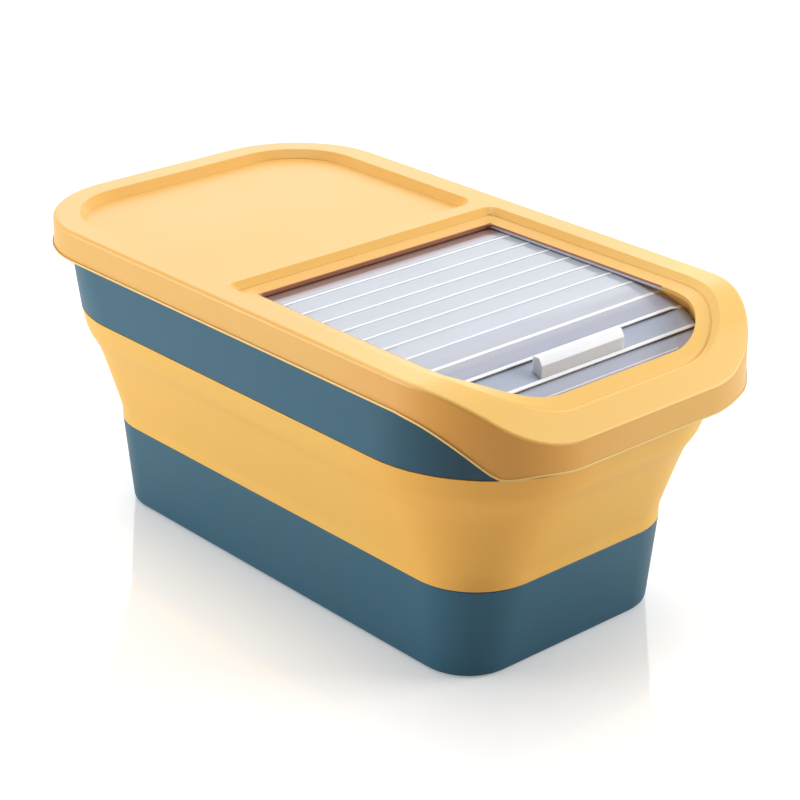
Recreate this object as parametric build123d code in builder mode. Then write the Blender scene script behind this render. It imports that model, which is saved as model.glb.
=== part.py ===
"""Collapsible pet food storage box with a tambour shutter in its lid.

Millimetres, +Z up, z = 0 on the floor. +X points to the dispensing end, where the shutter's grip is.
A rigid tub, a soft folding wall and a rigid band make the body, and a lift-off lid closes it.
"""

import os
from math import atan, cos, degrees, pi, radians, sin, sqrt, tan

from build123d import *

# lid, overall
lid_length = 450.0
lid_width = 250.0
lid_corner = 71.0
lid_top = 202.5
lid_wall = 2.4
lid_plate = 2.6
lid_round = 2.5
skirt_height = 19.5
skirt_draft = 1.5
skirt_angle = 36.0
bead_height = 1.4
bead_out = 0.9

# crown line, the side view of the lid's top: flat, one arc, then a straight nose
nose_length = 59.6
crown_radius = 60.8
crown_angle = 41.4
crown_start = lid_length / 2 - nose_length

# window opening in the front half of the lid, in a recess with sloped sides and a dished ledge
opening_rear = -4.0
opening_end_margin = 25.2
opening_side_margin = 30.5
opening_corner = 50.0
opening_rear_corner = 4.0
ledge_width = 9.5
ledge_depth = 4.0
ledge_drop = 1.6
ledge_flat = 1.5
ledge_rear_corner = 3.0
slope_width = 4.5
slope_foot = 0.4
opening_front = lid_length / 2 - opening_end_margin
opening_width = lid_width - 2 * opening_side_margin
recess_depth = ledge_depth + ledge_drop
recess_reach = ledge_width + slope_width

# storage tray in the rear half of the lid, its floor level with the opening's edge
tray_end_margin = 17.5
tray_side_margin = 18.5
tray_corner = 50.0
tray_front_corner = 12.0
bridge_width = 12.0
tray_rear = tray_end_margin - lid_length / 2
tray_front = opening_rear - recess_reach - bridge_width
tray_width = lid_width - 2 * tray_side_margin

# rigid tub
tub_setback = -5.0
tub_foot_length = 348.0
tub_foot_width = 172.4
tub_top_length = 367.2
tub_top_width = 182.4
tub_corner = 43.0
tub_height = 60.0
tub_wall = 2.6
tub_foot_bevel = 3.0
foot_recess = 2.0
foot_rim = 9.0
collar_height = 9.0

# rigid upper band, its foot a little inside the lid's outline
band_height = 58.7
band_end_inset = 8.8
band_side_inset = 6.5
band_extra_corner = 12.5
band_setback = -3.0
band_wall = 2.5
band_clearance = 1.0
band_bottom = lid_top - band_height
band_foot_length = lid_length - 2 * band_end_inset
band_foot_width = lid_width - 2 * band_side_inset
band_corner = lid_corner + band_extra_corner

# soft folding wall: how far each fold lies under the band's foot, and how far inside its outline
soft_wall = 2.2
bond_gap = 0.3
fold_low_drop = 29.8
fold_low_inset = 13.5
fold_high_drop = 15.8
fold_high_inset = 3.9
bond_flange = 11.0

# seal between the band's top edge and the lid
seal_height = 2.6
seal_overhang = 0.5
seal_gap = 0.3
seat_gap = 0.8

# tambour shutter: one clear sheet, its slats joined by thin hinge lines, two of them under ribs
track_lead = 60.4
track_bend_radius = 190.0
track_bend_angle = 34.0
slat_pitch = 17.9
sheet_rear_overlap = 14.0
sheet_front_overlap = 3.2
sheet_rear_corner = 3.0
slat_thickness = 1.8
slat_overlap = 5.5
slat_clearance = 0.8
hinge_width = 1.4
hinge_thickness = 0.6
rib_lead = 70.5
rib_pitch = 18.3
rib_slat = 21.1
rib_width = 2.6
rib_height = 1.8
rib_side_gap = 1.0
track_bend_start = crown_start - track_lead
sheet_rear = opening_rear - sheet_rear_overlap
sheet_front = opening_front + sheet_front_overlap
sheet_corner = opening_corner + sheet_front_overlap

# grip on the slat between the two ribs
grip_width = 67.0
grip_depth = 7.8
grip_height = 12.4
grip_face = 7.9
grip_top = 4.6
grip_lean = 2.5
grip_gap = 0.4
grip_round = 1.2

# guide rails, shelf and front stop that carry the shutter under the lid
rail_front_margin = 35.8
rail_rear_margin = 29.5
rail_flange = 8.6
rail_thickness = 1.8
rail_web = 1.8
rail_side_gap = 0.6
rail_run_gap = 0.5
shelf_front_margin = 5.0
shelf_thickness = 1.6
shelf_wall = 2.0
shelf_rib_height = 2.4
shelf_rib_pitch = 40.0
shelf_rib_count = 4
stop_wall = 2.0
stop_hang = 5.0
screw_count = 3
screw_sides = 12
screw_end_margin = 14.0
screw_bend_margin = 17.0
screw_diameter = 2.6
screw_clearance = 0.2
screw_head = 5.2
screw_head_height = 1.6
screw_bite = 1.6
ear_diameter = 7.6
boss_diameter = 6.0
rail_front = opening_front - rail_front_margin
rail_rear = tray_rear + rail_rear_margin
shelf_front = opening_rear - shelf_front_margin

far = 2 * lid_length
ledge_top = lid_top - ledge_depth
floor_top = lid_top - recess_depth
rail_top = floor_top - lid_plate
slat_top = rail_top - slat_clearance
slat_bottom = slat_top - slat_thickness
sheet_width = opening_width + 2 * slat_overlap
flange_top = slat_bottom - rail_run_gap
web_inside = sheet_width / 2 + rail_side_gap
web_outside = web_inside + rail_web
screw_row = web_outside + ear_diameter / 2
bore_diameter = screw_diameter + 2 * screw_clearance
bore_end = rail_top + screw_bite
screw_rear = rail_rear + screw_end_margin
screw_pitch = (track_bend_start - screw_bend_margin - screw_rear) / (screw_count - 1)
collar_top = tub_height + collar_height
standing = (Align.CENTER, Align.CENTER, Align.MIN)
hanging = (Align.CENTER, Align.CENTER, Align.MAX)


def rounded(length, width, corner, x, z):
    """A rounded rectangle at height z, centred at x on the long axis."""
    with BuildSketch(Plane.XY.offset(z)) as outline:
        with Locations((x, 0)):
            RectangleRounded(length, width, corner)
    return outline.sketch


def tub_ring(share, inset, corner, z):
    """The tub's outline at a share of its height, moved in by inset."""
    length = tub_foot_length + share * (tub_top_length - tub_foot_length) - 2 * inset
    width = tub_foot_width + share * (tub_top_width - tub_foot_width) - 2 * inset
    return rounded(length, width, corner, tub_setback, z)


def band_ring(share, inset, z):
    """The upper band's outline, from its foot (share 0) to the lid (share 1)."""
    top_length = lid_length - 2 * lid_wall - 2 * band_clearance
    top_width = lid_width - 2 * lid_wall - 2 * band_clearance
    length = band_foot_length + share * (top_length - band_foot_length) - 2 * inset
    width = band_foot_width + share * (top_width - band_foot_width) - 2 * inset
    return rounded(length, width, band_corner - inset, band_setback * (1 - share), z)


def loft_rings(rings):
    """A solid with flat-sided steps through the rings."""
    with BuildPart() as body:
        for low, high in zip(rings, rings[1:]):
            add(low)
            add(high)
            loft(ruled=True)
    return body.part


def flared(low, low_inset, high, high_inset):
    """The band's foot outline, moved in by an inset that changes evenly between two heights."""
    with BuildPart() as step:
        add(band_ring(0, low_inset, low))
        extrude(amount=high - low, taper=degrees(atan((high_inset - low_inset) / (high - low))))
    return step.part


def under_line(level, start, radius, angle):
    """Everything under a side line that is flat up to start, then an arc, then straight."""
    turn = radians(angle)
    arc_end = (start + radius * sin(turn), level - radius * (1 - cos(turn)))
    nose_end = (far, arc_end[1] - (far - arc_end[0]) * tan(turn))
    with BuildPart() as region:
        with BuildSketch(Plane.XZ):
            with BuildLine():
                Polyline((-far, level), (start, level))
                RadiusArc((start, level), arc_end, radius)
                Polyline(arc_end, nose_end, (far, -far), (-far, -far), (-far, level))
            make_face()
        extrude(amount=lid_width, both=True)
    return region.part


def below_crown(depth):
    """Everything under the lid's crown line lowered by depth, arc and nose kept parallel."""
    return under_line(lid_top - depth, crown_start, crown_radius - depth, crown_angle)


def below_track(depth):
    """Everything under the shutter's top face lowered by depth."""
    return under_line(slat_top - depth, track_bend_start, track_bend_radius - depth, track_bend_angle)


def crown_height(x):
    """Height of the crown line at x."""
    past = max(0, x - crown_start)
    arc = min(past, crown_radius * sin(radians(crown_angle)))
    return lid_top - crown_radius + sqrt(crown_radius**2 - arc**2) - (past - arc) * tan(radians(crown_angle))


def on_track(distance, depth):
    """Place at a distance along the shutter's top face and a depth under it, tilted with the track."""
    turn = max(0, distance - track_bend_start) / track_bend_radius
    x = min(distance, track_bend_start) + track_bend_radius * sin(turn)
    z = slat_top - track_bend_radius * (1 - cos(turn))
    return Location((x, 0, z), (0, degrees(turn), 0)) * Location((0, 0, -depth))


def over_track(distance, height):
    """Side view point at a distance along the shutter's top face and a height over it."""
    place = on_track(distance, -height).position
    return (place.X, place.Z)


def top_rim(edges):
    """The edges that lie on the crown line."""
    return [e for e in edges if abs(e.center().Z - crown_height(e.center().X)) < lid_plate / 4]


def screw_places(z):
    """Where the screws that hold the rails go, at height z."""
    return [(screw_rear + i * screw_pitch, j * screw_row, z) for i in range(screw_count) for j in (-1, 1)]


def pegs(places, diameter, depth):
    """Prisms hanging from the places, round enough for the small screws and what takes them."""
    with BuildPart() as group:
        with BuildSketch(Plane.XY.offset(places[0][2])):
            with Locations([(x, y) for x, y, z in places]):
                RegularPolygon(diameter / 2, screw_sides)
        extrude(amount=-depth)
    return group.part


def below_skirt(drop):
    """Everything under the skirt's side line at drop below the lid's top."""
    return under_line(lid_top - drop, crown_start, crown_radius, skirt_angle)


def recess_outline(out, rear_corner, z):
    """The window opening's outline, grown by out, with its own rear corners."""
    front_corner = opening_corner + out
    half_width = opening_width / 2 + out
    rear = opening_rear - out
    front = opening_front + out
    with BuildSketch(Plane.XY.offset(z)) as outline:
        with Locations(((rear + front) / 2, 0)):
            Rectangle(front - rear, 2 * half_width)
        fillet(outline.vertices().group_by(Axis.X)[-1], front_corner)
        fillet(outline.vertices().group_by(Axis.X)[0], rear_corner)
    return outline.sketch


def tray_outline(out, z):
    """The rear tray's outline, grown by out."""
    rear = tray_rear - out
    front = tray_front + out
    with BuildSketch(Plane.XY.offset(z)) as outline:
        with Locations(((rear + front) / 2, 0)):
            Rectangle(front - rear, tray_width + 2 * out)
        fillet(outline.vertices().group_by(Axis.X)[0], tray_corner + out)
        fillet(outline.vertices().group_by(Axis.X)[-1], tray_front_corner + out)
    return outline.sketch


def slope_rim(body, level, out, down):
    """Bevel the rim that the last cut left at a level: out over the face round it and down its wall."""
    face = body.faces().filter_by(Axis.Z).filter_by(lambda f: abs(f.center().Z - level) < slope_foot)
    rear_edge = (body.edges(Select.LAST) & face.edges()).sort_by(Axis.X)[0]
    chamfer(rear_edge, out, down, reference=face.filter_by(lambda f: rear_edge in f.edges())[0])


# tub: drafted shell with a bevelled foot, a shallow recess under its floor and a thin collar on top
inner_corner = tub_corner - tub_wall - soft_wall
with BuildPart() as base_tub:
    add(loft_rings([tub_ring(0, 0, tub_corner, 0), tub_ring(1, 0, tub_corner, tub_height)]))
    chamfer(base_tub.faces().sort_by(Axis.Z)[0].edges(), tub_foot_bevel)
    add(tub_ring(1, soft_wall + bond_gap, tub_corner - soft_wall - bond_gap, tub_height))
    extrude(amount=collar_height - bond_gap)
    add(loft_rings([
        tub_ring(0, tub_wall, inner_corner, foot_recess + tub_wall),
        tub_ring(1, soft_wall + tub_wall, inner_corner, collar_top),
    ]), mode=Mode.SUBTRACT)
    add(tub_ring(0, foot_rim, tub_corner - foot_rim, 0))
    extrude(amount=foot_recess, mode=Mode.SUBTRACT)
base_tub.part.label = "base_tub"

# folding wall: collar over the tub, two fold steps, and a flange bonded inside the band
soft_top = band_bottom - bond_gap
flange_inset = band_wall + bond_gap
fold_low = band_bottom - fold_low_drop
fold_high = band_bottom - fold_high_drop
with BuildPart() as folding_wall:
    add(loft_rings([
        tub_ring(1, 0, tub_corner, tub_height + bond_gap),
        tub_ring(1, 0, tub_corner, collar_top),
        band_ring(0, fold_low_inset, fold_low),
    ]))
    add(flared(fold_low, fold_low_inset, fold_high, fold_high_inset))
    add(flared(fold_high, fold_high_inset, soft_top, 0))
    add(band_ring(0, flange_inset, soft_top))
    extrude(amount=bond_flange)
    add(loft_rings([
        tub_ring(1, soft_wall, tub_corner - soft_wall, tub_height),
        tub_ring(1, soft_wall, tub_corner - soft_wall, collar_top),
        band_ring(0, fold_low_inset + soft_wall, fold_low),
    ]), mode=Mode.SUBTRACT)
    inner_high = fold_high_inset + soft_wall
    add(flared(fold_low, fold_low_inset + soft_wall, fold_high, inner_high), mode=Mode.SUBTRACT)
    add(flared(fold_high, inner_high, soft_top, flange_inset + soft_wall), mode=Mode.SUBTRACT)
    add(band_ring(0, flange_inset + soft_wall, soft_top))
    extrude(amount=bond_flange, mode=Mode.SUBTRACT)
folding_wall.part.label = "folding_wall"

# upper band: flared ring whose top edge follows the lid's crown
seal_depth = lid_plate + seal_gap
band_depth = seal_depth + seal_height + seal_gap
with BuildPart() as upper_band:
    add(loft_rings([band_ring(0, 0, band_bottom), band_ring(1, 0, lid_top)]))
    add(loft_rings([
        band_ring(0, band_wall, band_bottom),
        band_ring(1, band_wall, lid_top),
    ]), mode=Mode.SUBTRACT)
    add(below_crown(band_depth), mode=Mode.INTERSECT)
upper_band.part.label = "upper_band"

# seal: soft ring between the band's top edge and the lid's plate
seal_inset = band_wall + seal_overhang
with BuildPart() as lid_seal:
    add(loft_rings([band_ring(0, 0, band_bottom), band_ring(1, 0, lid_top)]))
    add(loft_rings([
        band_ring(0, seal_inset, band_bottom),
        band_ring(1, seal_inset, lid_top),
    ]), mode=Mode.SUBTRACT)
    add(below_crown(seal_depth), mode=Mode.INTERSECT)
    add(below_crown(seal_depth + seal_height), mode=Mode.SUBTRACT)
lid_seal.part.label = "lid_seal"

# lid: crowned shell with a drafted skirt, a bead at its foot, a window recess and a rear tray
seat_inset = seal_inset + seat_gap
with BuildPart() as floor_blocks:
    add(recess_outline(recess_reach + lid_wall, ledge_rear_corner + slope_width + lid_wall, 0))
    add(tray_outline(lid_wall, 0))
    extrude(amount=lid_top)
    add(below_crown(recess_depth + lid_plate), mode=Mode.SUBTRACT)
    add(loft_rings([
        band_ring(0, seat_inset, band_bottom),
        band_ring(1, seat_inset, lid_top),
    ]), mode=Mode.INTERSECT)
with BuildPart() as lid_cavity:
    add(rounded(lid_length - 2 * lid_wall, lid_width - 2 * lid_wall, lid_corner - lid_wall, 0, 0))
    extrude(amount=lid_top)
    add(below_crown(lid_plate), mode=Mode.INTERSECT)
    add(floor_blocks.part, mode=Mode.SUBTRACT)
with BuildPart() as window_recess:
    add(recess_outline(ledge_width, ledge_rear_corner, 0))
    extrude(amount=far)
    add(below_crown(ledge_depth), mode=Mode.SUBTRACT)
skirt_flare = 2 * (skirt_height * tan(radians(skirt_draft)) + bead_out)
with BuildPart() as bead:
    add(rounded(lid_length + skirt_flare, lid_width + skirt_flare, lid_corner + skirt_flare / 2, 0, 0))
    extrude(amount=lid_top)
    add(below_skirt(skirt_height - bead_height), mode=Mode.INTERSECT)
    add(below_skirt(skirt_height), mode=Mode.SUBTRACT)
with BuildPart() as front_stop:
    add(recess_outline(slat_overlap + rail_side_gap + stop_wall, opening_rear_corner, 0))
    extrude(amount=lid_top)
    add(recess_outline(slat_overlap + rail_side_gap, opening_rear_corner, 0))
    extrude(amount=lid_top, mode=Mode.SUBTRACT)
    add(below_crown(recess_depth + lid_plate / 2), mode=Mode.INTERSECT)
    add(below_track(slat_thickness + stop_hang), mode=Mode.SUBTRACT)
    split(bisect_by=Plane.YZ.offset(rail_front), keep=Keep.TOP)
with BuildPart() as lid:
    add(rounded(lid_length, lid_width, lid_corner, 0, lid_top))
    extrude(amount=-lid_top, taper=-skirt_draft)
    add(below_crown(0), mode=Mode.INTERSECT)
    add(below_skirt(skirt_height), mode=Mode.SUBTRACT)
    fillet(top_rim(lid.edges()), lid_round)
    add(bead.part)
    add(lid_cavity.part, mode=Mode.SUBTRACT)
    add(window_recess.part, mode=Mode.SUBTRACT)
    slope_rim(lid, lid_top, slope_width, ledge_depth - slope_foot)
    add(tray_outline(-slope_width, floor_top))
    extrude(amount=far, mode=Mode.SUBTRACT)
    slope_rim(lid, lid_top, slope_width, recess_depth - slope_foot)
    add(recess_outline(0, opening_rear_corner, 0))
    extrude(amount=far, mode=Mode.SUBTRACT)
    slope_rim(lid, ledge_top, ledge_width - ledge_flat, ledge_drop)
    add(front_stop.part)
    add(pegs(screw_places(rail_top), boss_diameter, rail_top - flange_top))
    add(pegs(screw_places(bore_end), bore_diameter, bore_end - flange_top), mode=Mode.SUBTRACT)
lid.part.label = "lid"

# shutter sheet: slats that follow the track, joined by thin hinge lines, with two raised ribs in front
rib_places = [track_bend_start + rib_lead - rib_pitch, track_bend_start + rib_lead]
last_line = rib_places[0] - rib_slat
line_count = 1 + int((last_line - sheet_rear) / slat_pitch)
line_places = [last_line - line * slat_pitch for line in range(line_count)]
with BuildPart() as sheet_outline:
    with BuildSketch():
        with Locations(((sheet_rear + sheet_front) / 2, 0)):
            Rectangle(sheet_front - sheet_rear, sheet_width)
    extrude(amount=far)
    fillet(sheet_outline.edges().filter_by(Axis.Z).group_by(Axis.X)[-1], sheet_corner)
    fillet(sheet_outline.edges().filter_by(Axis.Z).group_by(Axis.X)[0], sheet_rear_corner)
with BuildPart() as shutter_sheet:
    add(below_track(0))
    add(below_track(slat_thickness), mode=Mode.SUBTRACT)
    with Locations([on_track(place, slat_thickness) for place in line_places + rib_places]):
        Box(hinge_width, lid_width, 2 * (slat_thickness - hinge_thickness), mode=Mode.SUBTRACT)
    with Locations([on_track(place, -rib_height) for place in rib_places]):
        Box(rib_width, opening_width - 2 * rib_side_gap, rib_height + slat_thickness / 2, align=hanging)
    add(sheet_outline.part, mode=Mode.INTERSECT)
shutter_sheet.part.label = "shutter_sheet"

# grip: upright finger pull standing on the slat between the two ribs
grip_front = rib_places[1] - rib_width / 2 - grip_gap
front_foot = over_track(grip_front, grip_gap)
rear_foot = over_track(grip_front - grip_depth, grip_gap)
crest = front_foot[1] + grip_height
with BuildPart() as shutter_grip:
    with BuildSketch(Plane.XZ):
        with BuildLine():
            Polyline(
                rear_foot,
                (front_foot[0] - grip_lean - grip_top, crest),
                (front_foot[0] - grip_lean, crest),
                (front_foot[0], front_foot[1] + grip_face),
                front_foot,
                close=True,
            )
        make_face()
    extrude(amount=grip_width / 2, both=True)
    fillet(shutter_grip.edges().filter_by(Axis.Y).group_by(Axis.Z)[-1], grip_round)
shutter_grip.part.label = "shutter_grip"


def guide_rail(side):
    """An L rail with screw ears, side -1 near and +1 far; its flange runs under the sheet's edge."""
    with BuildPart() as rail:
        with BuildSketch():
            with Locations(((rail_rear + rail_front) / 2, side * (web_outside - rail_flange / 2))):
                Rectangle(rail_front - rail_rear, rail_flange)
        extrude(amount=rail_top)
        add(below_track(slat_thickness + rail_run_gap + rail_thickness), mode=Mode.SUBTRACT)
        add(sheet_channel.part, mode=Mode.SUBTRACT)
        ear_places = [place for place in screw_places(flange_top) if place[1] * side > 0]
        add(pegs(ear_places, ear_diameter, rail_thickness))
        with Locations([(x, side * (web_inside + screw_row) / 2, z) for x, y, z in ear_places]):
            Box(ear_diameter * cos(pi / screw_sides), screw_row - web_inside, rail_thickness, align=hanging)
        add(pegs(ear_places, bore_diameter, rail_thickness), mode=Mode.SUBTRACT)
    return rail.part


# guide rails: mirrored L rails screwed under the lid, with a channel that the sheet's edges run in
with BuildPart() as sheet_channel:
    Box(far, 2 * web_inside, lid_top, align=standing)
    add(below_track(slat_thickness + rail_run_gap), mode=Mode.SUBTRACT)
near_rail = guide_rail(-1)
near_rail.label = "near_rail"
far_rail = guide_rail(1)
far_rail.label = "far_rail"

# shelf: ribbed tray under the stored shutter, closed at its rear
shelf_top = flange_top - rail_thickness
with BuildPart() as shutter_shelf:
    with BuildSketch(Plane.XY.offset(shelf_top)):
        with Locations(((rail_rear + shelf_front) / 2, 0)):
            Rectangle(shelf_front - rail_rear, 2 * web_outside)
    extrude(amount=-shelf_thickness)
    end_width = 2 * (web_outside - rail_flange - rail_side_gap)
    with Locations((rail_rear + shelf_wall / 2, 0, shelf_top)):
        Box(shelf_wall, end_width, rail_top - shelf_top, align=standing)
    with Locations(((rail_rear + shelf_front) / 2, 0, shelf_top - shelf_thickness)):
        with GridLocations(shelf_rib_pitch, 0, shelf_rib_count, 1):
            Box(shelf_thickness, 2 * (web_outside - rail_flange), shelf_rib_height, align=hanging)
shutter_shelf.part.label = "shutter_shelf"

# screws: pan heads that hold the rails to the lid's bosses
with BuildPart() as rail_screws:
    screw_end = bore_end - screw_clearance
    add(pegs(screw_places(screw_end), screw_diameter, screw_end - shelf_top))
    add(pegs(screw_places(shelf_top), screw_head, screw_head_height))
rail_screws.part.label = "rail_screws"

os.makedirs("parts", exist_ok=True)
for piece in (
    base_tub.part,
    folding_wall.part,
    upper_band.part,
    lid_seal.part,
    lid.part,
    shutter_sheet.part,
    shutter_grip.part,
    near_rail,
    far_rail,
    shutter_shelf.part,
    rail_screws.part,
):
    export_step(piece, f"parts/{piece.label}.step")
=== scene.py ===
"""A collapsible pet food box: rigid tub, soft folding wall, rigid band, lid with a clear tambour shutter."""

from math import cos, pi, radians, sin, sqrt, tan
from operator import mul

import bmesh
import bpy
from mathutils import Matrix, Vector


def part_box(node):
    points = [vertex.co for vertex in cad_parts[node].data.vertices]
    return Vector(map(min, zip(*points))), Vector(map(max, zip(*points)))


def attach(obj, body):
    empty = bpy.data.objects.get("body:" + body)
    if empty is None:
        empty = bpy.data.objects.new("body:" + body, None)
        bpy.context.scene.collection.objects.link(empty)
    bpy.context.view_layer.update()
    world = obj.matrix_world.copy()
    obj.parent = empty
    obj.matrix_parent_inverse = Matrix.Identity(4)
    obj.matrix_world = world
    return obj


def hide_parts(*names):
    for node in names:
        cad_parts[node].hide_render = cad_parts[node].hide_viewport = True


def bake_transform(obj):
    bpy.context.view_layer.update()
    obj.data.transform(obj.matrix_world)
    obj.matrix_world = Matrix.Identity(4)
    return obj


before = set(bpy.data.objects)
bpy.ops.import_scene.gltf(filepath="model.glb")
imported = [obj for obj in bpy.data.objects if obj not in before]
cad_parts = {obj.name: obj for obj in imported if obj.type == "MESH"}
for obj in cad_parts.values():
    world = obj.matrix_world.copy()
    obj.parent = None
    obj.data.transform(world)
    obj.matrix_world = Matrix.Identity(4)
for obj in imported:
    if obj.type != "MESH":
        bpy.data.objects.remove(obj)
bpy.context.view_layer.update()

# Camera: at the height and turn from which the box is photographed, about 1.4 m away with a long lens.
camera_turn = radians(48.493)
camera_tilt = radians(23.932)
camera = bpy.data.objects.new("camera", bpy.data.cameras.new("camera"))
camera.location = (0.9971, -0.8685, 0.6890)
camera.rotation_euler = (pi / 2 - camera_tilt, 0, camera_turn)
camera.data.lens = 102.87
camera.data.sensor_width = 36
camera.data.clip_start = 0.05
bpy.context.scene.collection.objects.link(camera)
bpy.context.scene.camera = camera
bpy.context.scene.view_settings.view_transform = "Standard"


# Studio: a white glossy table top in a white room that is dim on the camera's side, so that faces turned to
# the camera stay deep in colour. Soft boxes stand over the table, behind it, and at both sides of the camera.
class Wire:
    """An output socket of a material, in which maths signs add the Math nodes."""

    def __init__(self, finish, socket):
        self.finish = finish
        self.socket = socket

    def maths(self, operation, *values):
        return self.finish.add("ShaderNodeMath", {"operation": operation}, dict(enumerate(values)))

    def __add__(self, other):
        return self.maths("ADD", self, other)

    def __sub__(self, other):
        return self.maths("SUBTRACT", self, other)

    def __rsub__(self, other):
        return self.maths("SUBTRACT", other, self)

    def __mul__(self, other):
        return self.maths("MULTIPLY", self, other)

    def __gt__(self, other):
        return self.maths("GREATER_THAN", self, other)

    def __lt__(self, other):
        return self.maths("LESS_THAN", self, other)

    def ramp(self, low, high):
        """0 at low, 1 at high, in a straight line between them and level beyond them."""
        scale = 1 / (high - low)
        sockets = {0: self, 1: scale, 2: -low * scale}
        return self.finish.add("ShaderNodeMath", {"operation": "MULTIPLY_ADD", "use_clamp": True}, sockets)

    __radd__ = __add__
    __rmul__ = __mul__


class Finish:
    """A material, or the world's light, made of nodes."""

    def __init__(self, name, owner=None):
        self.owner = owner or bpy.data.materials.new(name)
        self.owner.use_nodes = True
        self.tree = self.owner.node_tree
        self.tree.nodes.clear()

    def add(self, kind, settings=None, sockets=None, output=0):
        """A node of a kind, with its settings first and then the values or wires of its sockets."""
        node = self.tree.nodes.new(kind)
        for name, value in (settings or {}).items():
            if name == "stops":
                while len(node.color_ramp.elements) < len(value):
                    node.color_ramp.elements.new(1.0)
                for stop, (place, colour) in zip(node.color_ramp.elements, value):
                    stop.position = place
                    stop.color = colour
            else:
                setattr(node, name, value)
        for name, value in (sockets or {}).items():
            if isinstance(value, Wire):
                self.tree.links.new(value.socket, node.inputs[name])
            else:
                node.inputs[name].default_value = value
        return Wire(self, node.outputs[output] if node.outputs else None)

    def mix(self, share, first, second):
        """The first colour where share is 0, the second where it is 1."""
        sockets = {"Factor": share, "A": first, "B": second}
        return self.add("ShaderNodeMix", {"data_type": "RGBA"}, sockets, "Result")

    def show(self, surface, kind="ShaderNodeOutputMaterial"):
        """Ends the nodes with the shader that the surface shows."""
        self.add(kind, {}, {"Surface": surface})
        return self.owner


room_light = 0.50
dim_side = (0.754, -0.657, 0.0)
dim_start = -0.1
dim_full = 0.8
dim_share = 0.85
world = bpy.data.worlds.new("studio")
bpy.context.scene.world = world
room = Finish("studio", world)
ray = "ShaderNodeLightPath"
direction = room.add("ShaderNodeTexCoord", {}, {}, "Generated")
toward = room.add("ShaderNodeVectorMath", {"operation": "DOT_PRODUCT"}, {0: direction, 1: dim_side}, "Value")
dusk = room.add(
    "ShaderNodeMapRange",
    {"interpolation_type": "SMOOTHSTEP"},
    {"Value": toward, "From Min": dim_start, "From Max": dim_full, "To Min": 0.0, "To Max": dim_share},
)
seen = room.add(ray, {}, {}, "Is Camera Ray") + room.add(ray, {}, {}, "Is Transmission Ray") > 0.5
mirrored = room.add(ray, {}, {}, "Is Glossy Ray") * (1.0 - dusk)
lit = room_light * (1.0 - dusk)
strength = lit + seen * (1.0 - lit) + mirrored * (1.0 - lit)
light = room.add("ShaderNodeBackground", {}, {"Color": (1, 1, 1, 1), "Strength": strength})
room.show(light, "ShaderNodeOutputWorld")
lamp_aim = Vector((0, 0, 0.1))


def soft_lamp(name, place, width, height, power):
    """A rectangular soft box that points from its place to the middle of the box."""
    lamp = bpy.data.objects.new(name, bpy.data.lights.new(name, "AREA"))
    lamp.data.shape = "RECTANGLE"
    lamp.data.size = width
    lamp.data.size_y = height
    lamp.data.energy = power
    lamp.location = place
    lamp.rotation_euler = (lamp_aim - Vector(place)).to_track_quat("-Z", "Y").to_euler()
    bpy.context.scene.collection.objects.link(lamp)


soft_lamp("over_lamp", (-0.1, -0.1, 2.0), 1.6, 1.4, 19.5)
soft_lamp("back_lamp", (-1.5, 1.4, 0.9), 1.8, 0.9, 6.5)
soft_lamp("left_lamp", (-1.05, -1.5, 0.36), 1.2, 0.6, 16.5)
soft_lamp("right_lamp", (1.1, 1.3, 0.8), 1.0, 0.8, 16.5)

table_half = 8.0
table_white = (0.88, 0.89, 0.90, 1)
table_glow = (0.97, 0.985, 1, 1)
table_top = bpy.data.meshes.new("table_top")
table_corners = [(x * table_half, y * table_half, 0) for x, y in ((-1, -1), (1, -1), (1, 1), (-1, 1))]
table_top.from_pydata(table_corners, [], [(0, 1, 2, 3)])
table = bpy.data.objects.new("table_top", table_top)
bpy.context.scene.collection.objects.link(table)
white_board = Finish("white_board")
board = white_board.add("ShaderNodeBsdfPrincipled", {}, {"Base Color": table_white, "Roughness": 0.06})
glow = white_board.add("ShaderNodeEmission", {}, {"Color": table_glow, "Strength": 0.27})
direct = white_board.add(ray, {}, {}, "Is Camera Ray")
both = white_board.add("ShaderNodeAddShader", {}, {0: board, 1: glow})
board_light = white_board.add("ShaderNodeMixShader", {}, {"Fac": direct, 1: board, 2: both})
table_top.materials.append(white_board.show(board_light))


# Tub: a rigid polypropylene shell, injection moulded with drafted sides, a rounded foot and a raised floor.
# It stands on its foot rim, and its thin collar is the core that the soft wall is moulded over.
def corner_ring(half_length, half_width, corner, centre, z, steps=16):
    """Points round a rounded rectangle at height z, centred at x = centre."""
    points = []
    for side_x, side_y, start in ((1, 1, 0), (-1, 1, 90), (-1, -1, 180), (1, -1, 270)):
        for step in range(steps + 1):
            turn = radians(start + 90 * step / steps)
            x = centre + side_x * (half_length - corner) + corner * cos(turn)
            y = side_y * (half_width - corner) + corner * sin(turn)
            points.append((x, y, z))
    return points


def skin(name, rings, closed=False):
    """A piece with faces between its rings; its two ends are filled, or joined where it is closed."""
    mesh = bpy.data.meshes.new(name)
    shape = bmesh.new()
    rows = [[shape.verts.new(point) for point in ring] for ring in rings]
    pairs = list(zip(rows, rows[1:]))
    if closed:
        pairs.append((rows[-1], rows[0]))
    for low, high in pairs:
        for i in range(len(low)):
            j = (i + 1) % len(low)
            shape.faces.new((low[i], low[j], high[j], high[i]))
    if not closed:
        shape.faces.new(rows[0][::-1])
        shape.faces.new(rows[-1])
    bmesh.ops.recalc_face_normals(shape, faces=shape.faces)
    shape.to_mesh(mesh)
    shape.free()
    mesh.shade_smooth()
    mesh.set_sharp_from_angle(angle=radians(32))
    piece = bpy.data.objects.new(name, mesh)
    bpy.context.scene.collection.objects.link(piece)
    return piece


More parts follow.
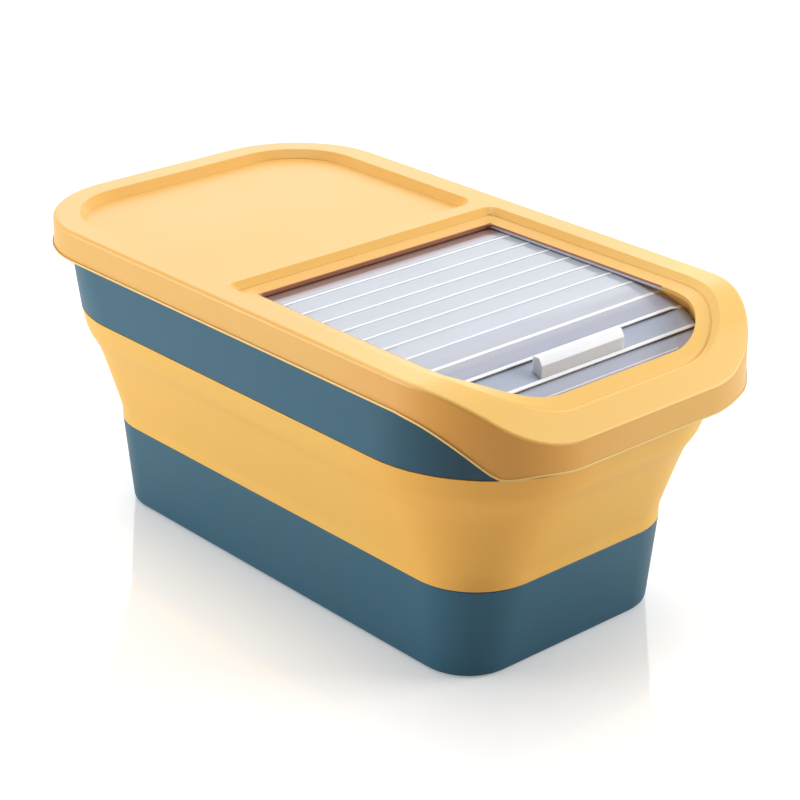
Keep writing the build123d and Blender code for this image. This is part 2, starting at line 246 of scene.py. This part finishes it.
def moulded_plastic(name, colour, roughness, softness=0.0006, specular=0.5, tints=()):
    """Moulded plastic with a fine grain, slightly uneven gloss and softly broken edges.

    Each tint is a colour and a function that is 1 where the plastic shows it; the function takes x, y, z
    and the surface's upward slope.
    """
    plastic = Finish(name)
    place = plastic.add("ShaderNodeTexCoord", {}, {}, "Object")
    flow_size = {"Vector": place, "Scale": 9.0, "Detail": 3.0, "Roughness": 0.55}
    flow = plastic.add("ShaderNodeTexNoise", {}, flow_size)
    fine = plastic.add("ShaderNodeTexNoise", {}, {"Vector": place, "Scale": 1400.0, "Detail": 2.0})
    dark = tuple(channel * 0.97 for channel in colour)
    shade = plastic.mix(flow, dark + (1,), colour + (1,))
    spot = [plastic.add("ShaderNodeSeparateXYZ", {}, {"Vector": place}, axis) for axis in "XYZ"]
    facing = plastic.add("ShaderNodeTexCoord", {}, {}, "Normal")
    upward = plastic.add("ShaderNodeSeparateXYZ", {}, {"Vector": facing}, "Z")
    for tint, shown in tints:
        shade = plastic.mix(shown(*spot, upward), shade, tint + (1,))
    edge = plastic.add("ShaderNodeBevel", {"samples": 8}, {"Radius": softness})
    grain = {"Strength": 0.35, "Distance": 0.00003, "Height": fine, "Normal": edge}
    relief = plastic.add("ShaderNodeBump", {}, grain)
    body = plastic.add(
        "ShaderNodeBsdfPrincipled",
        {},
        {
            "Base Color": shade,
            "Roughness": roughness - 0.06 + 0.12 * flow,
            "Specular IOR Level": specular,
            "Normal": relief,
        },
    )
    return plastic.show(body)


tub_low, tub_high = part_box("base_tub")
tub_centre = (tub_low.x + tub_high.x) / 2
tub_half_length = (tub_high.x - tub_low.x) / 2
tub_half_width = (tub_high.y - tub_low.y) / 2
tub_height = 0.060
tub_corner = 0.044
foot_half_length = tub_half_length - 0.0096
foot_half_width = tub_half_width - 0.0050
foot_corner = 0.033
foot_round = 0.004
floor_recess = 0.002
rim_width = 0.009
tub_wall = 0.0026
tub_edge = 0.0006
inner_foot = ((0.0120, 0.0), (0.0066, 0.0012), (0.0046, 0.0050))
wall_skin = 0.0022
collar_gap = 0.0003
tub_blue = (0.033, 0.132, 0.203)
blue_roughness = 0.42
blue_specular = 0.35


def tub_ring(z, inset=0.0):
    """The tub's outline at height z, moved in by inset."""
    share = min(z, tub_height) / tub_height
    return corner_ring(
        foot_half_length + share * (tub_half_length - foot_half_length) - inset,
        foot_half_width + share * (tub_half_width - foot_half_width) - inset,
        foot_corner + share * (tub_corner - foot_corner) - inset,
        tub_centre,
        z,
    )


foot_turn = [
    tub_ring(foot_round * (1 - cos(turn)), foot_round * (1 - sin(turn)))
    for turn in (radians(step * 15) for step in range(7))
]
collar_top = tub_high.z
collar_out = wall_skin + collar_gap
tub_rings = [tub_ring(floor_recess, rim_width), tub_ring(0, rim_width)] + foot_turn
tub_rings += [tub_ring(tub_height - tub_edge), tub_ring(tub_height, tub_edge)]
tub_rings += [tub_ring(tub_height, collar_out), tub_ring(collar_top, collar_out)]
tub_rings += [tub_ring(collar_top, collar_out + tub_wall)]
tub_rings += [tub_ring(height, tub_wall + inset) for height, inset in inner_foot]
tub = skin("tub_shell", tub_rings)
blue_plastic = moulded_plastic("blue_plastic", tub_blue, blue_roughness, specular=blue_specular)
tub.data.materials.append(blue_plastic)
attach(tub, "base")
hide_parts("base_tub")

# Folding wall: a soft rubber-like skin, moulded over the tub's collar and inside the band's foot.
# It has two soft bends round the box, at which it tucks inside the band when the box is pressed down.
band_low, band_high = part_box("upper_band")
wall_low, wall_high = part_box("folding_wall")
band_half_length = (wall_high.x - wall_low.x) / 2
band_half_width = (wall_high.y - wall_low.y) / 2
band_centre = (wall_high.x + wall_low.x) / 2
band_corner = 0.0865
band_wall = 0.0025
band_foot = band_low.z
wall_foot = tub_height + collar_gap
wall_head = band_foot - collar_gap
fold_line = [(wall_foot, 0.0), (0.0690, 0.0), (0.1140, 0.55), (0.1280, 0.87), (wall_head, 1.0)]
fold_softness = 0.30
wall_yellow = (0.97, 0.57, 0.120)
# The second yellow is a deeper orange painted as shade in the wall's near front corner.
wall_corner_painted_shade = (1.0, 0.505, 0.088)


def wall_ring(z, share, inset=0.0):
    """The soft wall's outline between the tub's top, share 0, and the band's foot, share 1."""
    return corner_ring(
        tub_half_length + share * (band_half_length - tub_half_length) - inset,
        tub_half_width + share * (band_half_width - tub_half_width) - inset,
        tub_corner + share * (band_corner - tub_corner) - inset,
        tub_centre + share * (band_centre - tub_centre),
        z,
    )


def softened(line, reach, steps=6):
    """The line with each inner corner turned into a smooth bend."""
    smooth = [line[0]]
    for before, corner, after in zip(line, line[1:], line[2:]):
        start = [c + reach * (b - c) for b, c in zip(before, corner)]
        end = [c + reach * (a - c) for a, c in zip(after, corner)]
        for step in range(steps + 1):
            t = step / steps
            shares = ((1 - t) ** 2, 2 * t * (1 - t), t * t)
            smooth.append(tuple(sum(map(mul, shares, ends)) for ends in zip(start, corner, end)))
    smooth.append(line[-1])
    return smooth


fold_path = softened(fold_line, fold_softness)
flange_in = band_wall + collar_gap
flange_top = wall_high.z
wall_rings = [wall_ring(z, share) for z, share in fold_path]
wall_rings += [wall_ring(z, 1, flange_in) for z in (wall_head, flange_top)]
wall_rings += [wall_ring(z, 1, flange_in + wall_skin) for z in (flange_top, band_foot)]
wall_rings += [wall_ring(z, share, wall_skin) for z, share in fold_path[-2::-1]]
wall = skin("soft_wall", wall_rings, closed=True)


def painted_wall_corner_shade(x, y, z, upward):
    """1 at the wall's near front corner, where a deeper yellow is painted as the shade and the warm light
    thrown between its folds.
    """
    return x.ramp(0.08, 0.16) * y.ramp(0.0, -0.07)


wall_tints = [(wall_corner_painted_shade, painted_wall_corner_shade)]
soft_yellow = moulded_plastic("soft_yellow", wall_yellow, 0.50, specular=0.40, tints=wall_tints)
wall.data.materials.append(soft_yellow)
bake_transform(wall)
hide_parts("folding_wall")

# Upper band: a rigid ring of the tub's plastic that holds the soft wall's top edge open and carries the lid.
# Its top edge follows the lid's crown, down over the dispensing end.
lid_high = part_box("lid")[1]
crown_start = 0.1654
crown_radius = 0.0608
crown_angle = radians(41.4)
bead_reach = 0.0014


def crown_height(x):
    """Height of the lid's crown at x: flat, then an arc, then a straight nose."""
    past = max(0.0, x - crown_start)
    arc = min(past, crown_radius * sin(crown_angle))
    return lid_high.z - crown_radius + sqrt(crown_radius**2 - arc**2) - (past - arc) * tan(crown_angle)


top_lean_x = 0.0005
top_lean_y = 0.0003
band_top_half_length = (band_high.x - band_low.x) / 2 + top_lean_x
band_top_half_width = (band_high.y - band_low.y) / 2 + top_lean_y
band_top_corner = 0.076
band_depth = 0.0058
foot_level = 0.01
foot_edge = 0.0004


def band_ring(level, inset=0.0):
    """The band's outline at a level from its foot, 0, to its top edge, 1."""
    ring = []
    low_sizes = [size - inset for size in (band_half_length, band_half_width, band_corner)]
    high_sizes = [size - inset for size in (band_top_half_length, band_top_half_width, band_top_corner)]
    low = corner_ring(*low_sizes, band_centre, band_foot)
    high = corner_ring(*high_sizes, 0.0, lid_high.z)
    for a, b in zip(low, high):
        foot, head = Vector(a), Vector(b)
        share = (crown_height(head.x) - band_depth - foot.z) / (head.z - foot.z)
        share = (crown_height(foot.x + share * (head.x - foot.x)) - band_depth - foot.z) / (head.z - foot.z)
        ring.append(tuple(foot.lerp(head, share * level)))
    return ring


band_rings = [band_ring(foot_level), band_ring(1.0), band_ring(1.0, band_wall)]
band_rings += [band_ring(0.0, band_wall), band_ring(0.0, foot_edge)]
band = skin("band_ring", band_rings, closed=True)


def painted_band_corner_shade(x, y, z, upward):
    """1 on the band's near front corner, where a darker blue is painted as the shadow of the lid's skirt,
    under which it lies deep.
    """
    return x.ramp(0.12, 0.19) * y.ramp(-0.04, -0.10)


# A darker blue painted as shadow on the band's near front corner.
band_tints = [((0.012, 0.055, 0.085), painted_band_corner_shade)]
band_blue = moulded_plastic("band_blue", tub_blue, blue_roughness, specular=blue_specular, tints=band_tints)
band.data.materials.append(band_blue)
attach(band, "band")
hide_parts("upper_band")

# Seal: a soft white silicone ring of square section that sits in the lid and presses on the band's top edge.
seal_width = 0.0030
seal_thick = 0.0026
seal_gap = 0.0003


def lifted(ring, rise):
    """The ring moved up by rise."""
    return [(x, y, z + rise) for x, y, z in ring]


outer_seal, inner_seal = band_ring(1.0), band_ring(1.0, seal_width)
seal_rings = [lifted(outer_seal, seal_gap), lifted(outer_seal, seal_gap + seal_thick)]
seal_rings += [lifted(inner_seal, seal_gap + seal_thick), lifted(inner_seal, seal_gap)]
seal = skin("seal_ring", seal_rings, closed=True)
seal.data.materials.append(moulded_plastic("seal_rubber", (0.72, 0.72, 0.70), 0.6, specular=0.3))
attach(seal, "lid")
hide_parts("lid_seal")

# Lid: one yellow polypropylene moulding with a rear tray and a window in its front half, which falls away to
# the nose. Its drafted skirt ends in a bead and reaches deeper where it wraps the corners of the nose.
lid_yellow = (0.89, 0.495, 0.108)
lid_roughness = 0.36
window_rear = -0.0040
window_half_width = 0.0945
window_corner_start = 0.145
lit_foot_top = 0.1959
wall_reach = 0.0006


def painted_window_wall_shade(x, y, z, upward):
    """1 on the straight walls of the window, where a red-brown is painted as their shade and the warm light
    thrown on them from inside the box.
    """
    outward = y.maths("ABSOLUTE", y)
    along = (x > window_rear - wall_reach) * (x < window_corner_start)
    return along * (outward < window_half_width + wall_reach)


def painted_side_wall_light(x, y, z, upward):
    """1 on the foot of the window's side walls, where a pale colour is painted as the light thrown off the
    sheet.
    """
    outward = y.maths("ABSOLUTE", y)
    beside = (outward > window_half_width - wall_reach) * (outward < window_half_width + wall_reach)
    return beside * (x > window_rear + wall_reach) * (x < window_corner_start) * (z < lit_foot_top)


def painted_nose_sheen(x, y, z, upward):
    """1 on top of the dispensing end, where a paler yellow is painted as the light and sheen that fall there.
    """
    return x.ramp(0.06, 0.15) * upward.ramp(0.35, 0.75)


def painted_nose_corner_shade(x, y, z, upward):
    """1 on the skirt round the dispensing end's near corner, where a deeper yellow is painted as shade."""
    return x.ramp(0.09, 0.19) * y.ramp(0.0, -0.09) * upward.ramp(0.55, 0.15)


# The lid's tints are painted light and shade: a paler painted sheen on the nose's top, deeper painted shade
# on the skirt round its near corner and on the window's walls, and pale painted light on the side walls'
# foot.
lid_tints = [((0.94, 0.575, 0.150), painted_nose_sheen), ((0.86, 0.385, 0.062), painted_nose_corner_shade)]
lid_tints += [((0.40, 0.14, 0.06), painted_window_wall_shade), ((0.55, 0.58, 0.65), painted_side_wall_light)]
yellow_plastic = moulded_plastic("yellow_plastic", lid_yellow, lid_roughness)
lid_plastic = moulded_plastic("lid_plastic", lid_yellow, lid_roughness, tints=lid_tints)
skirt_reach = 0.0034
skirt_top_depth = 0.004
skirt_full_depth = 0.008
dip = 0.0117
front_dip = 0.0006
dip_start = 0.150
dip_deepest = 0.208
lid_corner = 0.071
bead_side = 0.00138
groove_side = 0.0003
groove_slope = 0.3


def outside(x, y):
    """How far a point lies outside the lid's rounded outline in plan; negative inside it."""
    over_x = abs(x) - (lid_high.x - bead_reach - lid_corner)
    over_y = abs(y) - (lid_high.y - bead_reach - lid_corner)
    return sqrt(max(0.0, over_x) ** 2 + max(0.0, over_y) ** 2) + min(0.0, max(over_x, over_y)) - lid_corner


def skirt_dip(x):
    """How much deeper the skirt reaches at x, where it wraps the corners of the nose."""
    if x < dip_deepest:
        return dip * max(0.0, (x - dip_start) / (dip_deepest - dip_start)) ** 1.5
    share = max(0.0, (lid_high.x - x) / (lid_high.x - dip_deepest))
    return front_dip + (dip - front_dip) * share * share * (3 - 2 * share)


lid_shape = bmesh.new()
lid_shape.from_mesh(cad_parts["lid"].data)
for point in lid_shape.verts:
    depth = crown_height(point.co.x) - point.co.z
    if outside(point.co.x, point.co.y) > -skirt_reach and depth > skirt_top_depth:
        share = min(1.0, (depth - skirt_top_depth) / (skirt_full_depth - skirt_top_depth))
        point.co.z -= share * skirt_dip(point.co.x)
lid_mesh = bpy.data.meshes.new("lid_shell")
lid_shape.to_mesh(lid_mesh)
lid_shape.free()
lid_mesh.shade_smooth()
lid_mesh.set_sharp_from_angle(angle=radians(32))
lid_shell = bpy.data.objects.new("lid_shell", lid_mesh)
bpy.context.scene.collection.objects.link(lid_shell)
# A paler yellow on the bead's outer faces is a painted highlight, and a dark brown on the upward faces at the
# bead's top is painted shade.
bead_painted_highlight = moulded_plastic("bead_painted_highlight", (1.0, 0.66, 0.20), 0.3, softness=0.0002)
groove_painted_shade = moulded_plastic("groove_painted_shade", (0.50, 0.24, 0.05), 0.5, softness=0.0001)
lid_mesh.materials.clear()
for finish in (lid_plastic, bead_painted_highlight, groove_painted_shade):
    lid_mesh.materials.append(finish)
for face in lid_mesh.polygons:
    beyond = [outside(*lid_mesh.vertices[corner].co[:2]) for corner in face.vertices]
    if min(beyond) > bead_side:
        face.material_index = 1
    elif min(beyond) > groove_side and max(beyond) > bead_side and face.normal.z > groove_slope:
        face.material_index = 2
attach(lid_shell, "lid")
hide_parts("lid")


# Guide rails and shelf: two L rails that the sheet's edges run in, and the shelf under the stored sheet.
# They are moulded in the lid's plastic and fastened to bosses on its underside.
def dress(name, material):
    """Gives a CAD node its material."""
    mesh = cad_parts[name].data
    mesh.materials.clear()
    mesh.materials.append(material)


for name in ("near_rail", "far_rail", "shutter_shelf"):
    dress(name, yellow_plastic)

# Rail screws: pan head screws of plain steel, driven through the rails' ears into the lid's bosses.
# They are satin and unplated, and show only when the lid is turned over.
dress("rail_screws", moulded_plastic("screw_steel", (0.6, 0.6, 0.6), 0.35))

# Shutter sheet: one moulded sheet of clear polypropylene, its stiff slats joined by thin living hinges.
# Its long edges run in the rails. Two raised ribs stiffen its front, which bends down with the lid's nose.
sheet_low, sheet_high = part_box("shutter_sheet")
sheet_top = 0.1935
bend_start = 0.105
bend_radius = 0.190
slat_thick = 0.0018
hinge_thick = 0.0006
hinge_half = 0.0008
last_hinge_half = 0.0012
slat_pitch = 0.0179
first_line = 0.0132
line_count = 8
rib_places = (0.1572, 0.1755)
rib_height = 0.0018
rib_half = 0.0013
rib_reach = 0.0935
lip_place = 0.1861
lip_half = 0.0006
lip_share = 0.78
step_run = 0.0001
line_rise = 0.0002
bevel = 0.0003
hinge_rise = 0.0004
line_room = 0.0022
station_count = 120
sheet_half_width = (sheet_high.y - sheet_low.y) / 2
sheet_corner = 0.054


def track_point(distance, height):
    """Side view point at a distance along the sheet's top face and a height over it."""
    turn = max(0.0, distance - bend_start) / bend_radius
    x = min(distance, bend_start) + (bend_radius + height) * sin(turn)
    return x, sheet_top + height - (bend_radius + height) * (1 - cos(turn))


def sheet_half(x):
    """Half the sheet's width at x, less towards its rounded front."""
    past = max(0.0, x - (sheet_high.x - sheet_corner))
    return sheet_half_width - sheet_corner + sqrt(max(0.0, sheet_corner**2 - past**2))


# Finishes of the sheet: clear slats, white painted highlight on the raised lines and rib tops, painted shade
# at the ribs' front feet, and pale painted highlight on the lip.
slat, line, shade, lip = 0, 1, 2, 3


def hinge_line(half):
    """The raised line over a thin hinge, painted white as a highlight, as offset, height, thickness and
    finish along the sheet.
    """
    return [
        (-half - bevel, 0, slat_thick, slat),
        (-half, line_rise, slat_thick, line),
        (-half + line_rise, hinge_rise, hinge_thick, line),
        (half - line_rise, hinge_rise, hinge_thick, line),
        (half, line_rise, slat_thick, slat),
        (half + bevel, 0, slat_thick, slat),
    ]


def rib_line(half):
    """A rib with chamfered top edges, painted white on top as a highlight and dark at its front foot as
    painted shade.
    """
    return [
        (-half - step_run, 0, slat_thick, line),
        (-half, rib_height - bevel, slat_thick, line),
        (-half + bevel, rib_height, slat_thick, line),
        (half - bevel, rib_height, slat_thick, line),
        (half - step_run, rib_height - bevel, slat_thick, shade),
        (half, 0, slat_thick, slat),
    ]


def lip_line(half):
    """The low raised line near the sheet's front edge, pale as a painted highlight."""
    return [
        (-half, 0, slat_thick, lip),
        (-half + step_run, line_rise, slat_thick, lip),
        (half - step_run, line_rise, slat_thick, lip),
        (half, 0, slat_thick, slat),
    ]


front_turn = bend_start
while track_point(front_turn, 0)[0] < sheet_high.x - step_run / 2:
    front_turn += step_run
sheet_run = front_turn - sheet_low.x
hinges = [first_line + i * slat_pitch for i in range(line_count)]
lines = [(place, hinge_line(hinge_half)) for place in hinges[:-1]]
lines += [(hinges[-1], hinge_line(last_hinge_half)), (lip_place, lip_line(lip_half))]
lines += [(place, rib_line(rib_half)) for place in rib_places]
places = [sheet_low.x + sheet_run * i / station_count for i in range(station_count + 1)]
stations = [(place, 0.0, slat_thick, slat) for place in places]
for place, profile in lines:
    stations = [station for station in stations if abs(station[0] - place) > line_room]
    stations += [(place + offset, height, thick, finish) for offset, height, thick, finish in profile]
stations.sort()

across = [-1, -0.97, -0.9, -lip_share, -0.6, -0.3, 0, 0.3, 0.6, lip_share, 0.9, 0.97, 1]
sheet_mesh = bpy.data.meshes.new("clear_sheet")
shape = bmesh.new()
tops, feet = [], []
for distance, height, thick, finish in stations:
    half = sheet_half(track_point(distance, 0)[0])
    foot_x, foot_z = track_point(distance, -thick)
    row = []
    for a in across:
        top_x, top_z = track_point(distance, height if half * abs(a) < rib_reach else 0.0)
        row.append(shape.verts.new((top_x, half * a, top_z)))
    tops.append(row)
    feet.append([shape.verts.new((foot_x, half * a, foot_z)) for a in across])
for row in range(len(stations) - 1):
    for rows in (tops, feet):
        for i in range(len(across) - 1):
            face = shape.faces.new((rows[row][i], rows[row][i + 1], rows[row + 1][i + 1], rows[row + 1][i]))
            finish = stations[row][3] if rows is tops else slat
            beside = finish == lip and max(abs(across[i]), abs(across[i + 1])) > lip_share
            face.material_index = slat if beside else finish
    for i in (0, -1):
        shape.faces.new((tops[row][i], tops[row + 1][i], feet[row + 1][i], feet[row][i]))
for row in (0, -1):
    for i in range(len(across) - 1):
        shape.faces.new((tops[row][i], tops[row][i + 1], feet[row][i + 1], feet[row][i]))
bmesh.ops.recalc_face_normals(shape, faces=shape.faces)
shape.to_mesh(sheet_mesh)
shape.free()
sheet_mesh.shade_smooth()
sheet_mesh.set_sharp_from_angle(angle=radians(25))
sheet = bpy.data.objects.new("clear_sheet", sheet_mesh)
bpy.context.scene.collection.objects.link(sheet)

clear_plastic = Finish("clear_plastic")
spot = clear_plastic.add("ShaderNodeTexCoord", {}, {}, "Generated")
haze = clear_plastic.add("ShaderNodeTexNoise", {}, {"Vector": spot, "Scale": 5.0, "Detail": 3.0})
stretch = {0: spot, 1: (60.0, 1.5, 1.0)}
streak_place = clear_plastic.add("ShaderNodeVectorMath", {"operation": "MULTIPLY"}, stretch, "Vector")
streak = clear_plastic.add("ShaderNodeTexNoise", {}, {"Vector": streak_place, "Scale": 1.0, "Detail": 2.0})
along = clear_plastic.add("ShaderNodeSeparateXYZ", {}, {"Vector": spot}, "X")
pale = (0.56, 0.60, 0.69, 1)


def sheet_share(distance):
    """Where a distance along the sheet lies between its rear edge, 0, and its front edge, 1."""
    return (track_point(distance, 0)[0] - sheet_low.x) / (sheet_high.x - sheet_low.x)


# Colours along the sheet: its own pale tint, with a red-brown painted reflection of the window's rear wall at
# its rear edge, painted shade just in front of that, and painted light, reflections and shade in bands over
# the bend at its front.
sheet_tint_and_painted_light = (
    (0.0030, (0.36, 0.23, 0.20, 1)),
    (0.0080, (0.54, 0.54, 0.62, 1)),
    (0.0150, pale),
    (bend_start, pale),
    (0.1200, (0.66, 0.69, 0.78, 1)),
    (0.1370, (0.68, 0.71, 0.79, 1)),
    (0.1460, (0.55, 0.56, 0.67, 1)),
    (0.1560, (0.52, 0.55, 0.66, 1)),
    (0.1590, (0.50, 0.57, 0.70, 1)),
    (0.1760, (0.53, 0.58, 0.70, 1)),
)
stops = [(sheet_share(distance), colour) for distance, colour in sheet_tint_and_painted_light]
stops.append((1.0, (0.56, 0.57, 0.68, 1)))
tint = clear_plastic.add("ShaderNodeValToRGB", {"stops": stops}, {"Fac": along}, "Color")
gloss = clear_plastic.add(
    "ShaderNodeBsdfPrincipled",
    {},
    {"Base Color": tint, "Roughness": 0.10 + 0.08 * haze, "Specular IOR Level": 0.6},
)
through = clear_plastic.add("ShaderNodeBsdfTransparent", {}, {"Color": (0.93, 0.94, 0.96, 1)})
cloudiness = 0.70 + 0.08 * haze + 0.10 * streak
clear = clear_plastic.add("ShaderNodeMixShader", {}, {"Fac": cloudiness, 1: through, 2: gloss})
sheet_mesh.materials.append(clear_plastic.show(clear))
# The raised lines' white, the ribs' dark feet and the lip's pale grey are painted highlight and shade on
# clear plastic.
sheet_mesh.materials.append(moulded_plastic("hinge_painted_highlight", (0.99, 0.99, 1.0), 0.2, softness=0.0002))
sheet_mesh.materials.append(moulded_plastic("rib_foot_painted_shade", (0.16, 0.15, 0.19), 0.25, softness=0.0001))
sheet_mesh.materials.append(moulded_plastic("lip_painted_highlight", (0.80, 0.78, 0.84), 0.25, softness=0.0001))
grip_low, grip_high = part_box("shutter_grip")
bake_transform(sheet)
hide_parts("shutter_sheet")

# Grip: a small upright finger pull of milky polypropylene, welded on the slat between the two ribs.
# Its two ends are clearer than the rest, where the plastic is thin.
end_reach = grip_high.y - 0.0004
milky = Finish("white_plastic")
milk_place = milky.add("ShaderNodeTexCoord", {}, {}, "Object")
cloud = milky.add("ShaderNodeTexNoise", {}, {"Vector": milk_place, "Scale": 70.0, "Detail": 3.0})
sideways = milky.add("ShaderNodeSeparateXYZ", {}, {"Vector": milk_place}, "Y")
grip_end = sideways.maths("ABSOLUTE", sideways) > end_reach
cloudy = milky.mix(cloud, (0.80, 0.82, 0.86, 1), (0.90, 0.91, 0.93, 1))
milk_colour = milky.mix(grip_end, cloudy, (0.58, 0.62, 0.72, 1))
milk = milky.add(
    "ShaderNodeBsdfPrincipled",
    {},
    {
        "Base Color": milk_colour,
        "Roughness": 0.3,
        "Subsurface Weight": 0.7,
        "Subsurface Radius": (0.01, 0.01, 0.01),
        "Subsurface Scale": 0.5,
        "Normal": milky.add("ShaderNodeBevel", {"samples": 8}, {"Radius": 0.0006}),
    },
)
dress("shutter_grip", milky.show(milk))
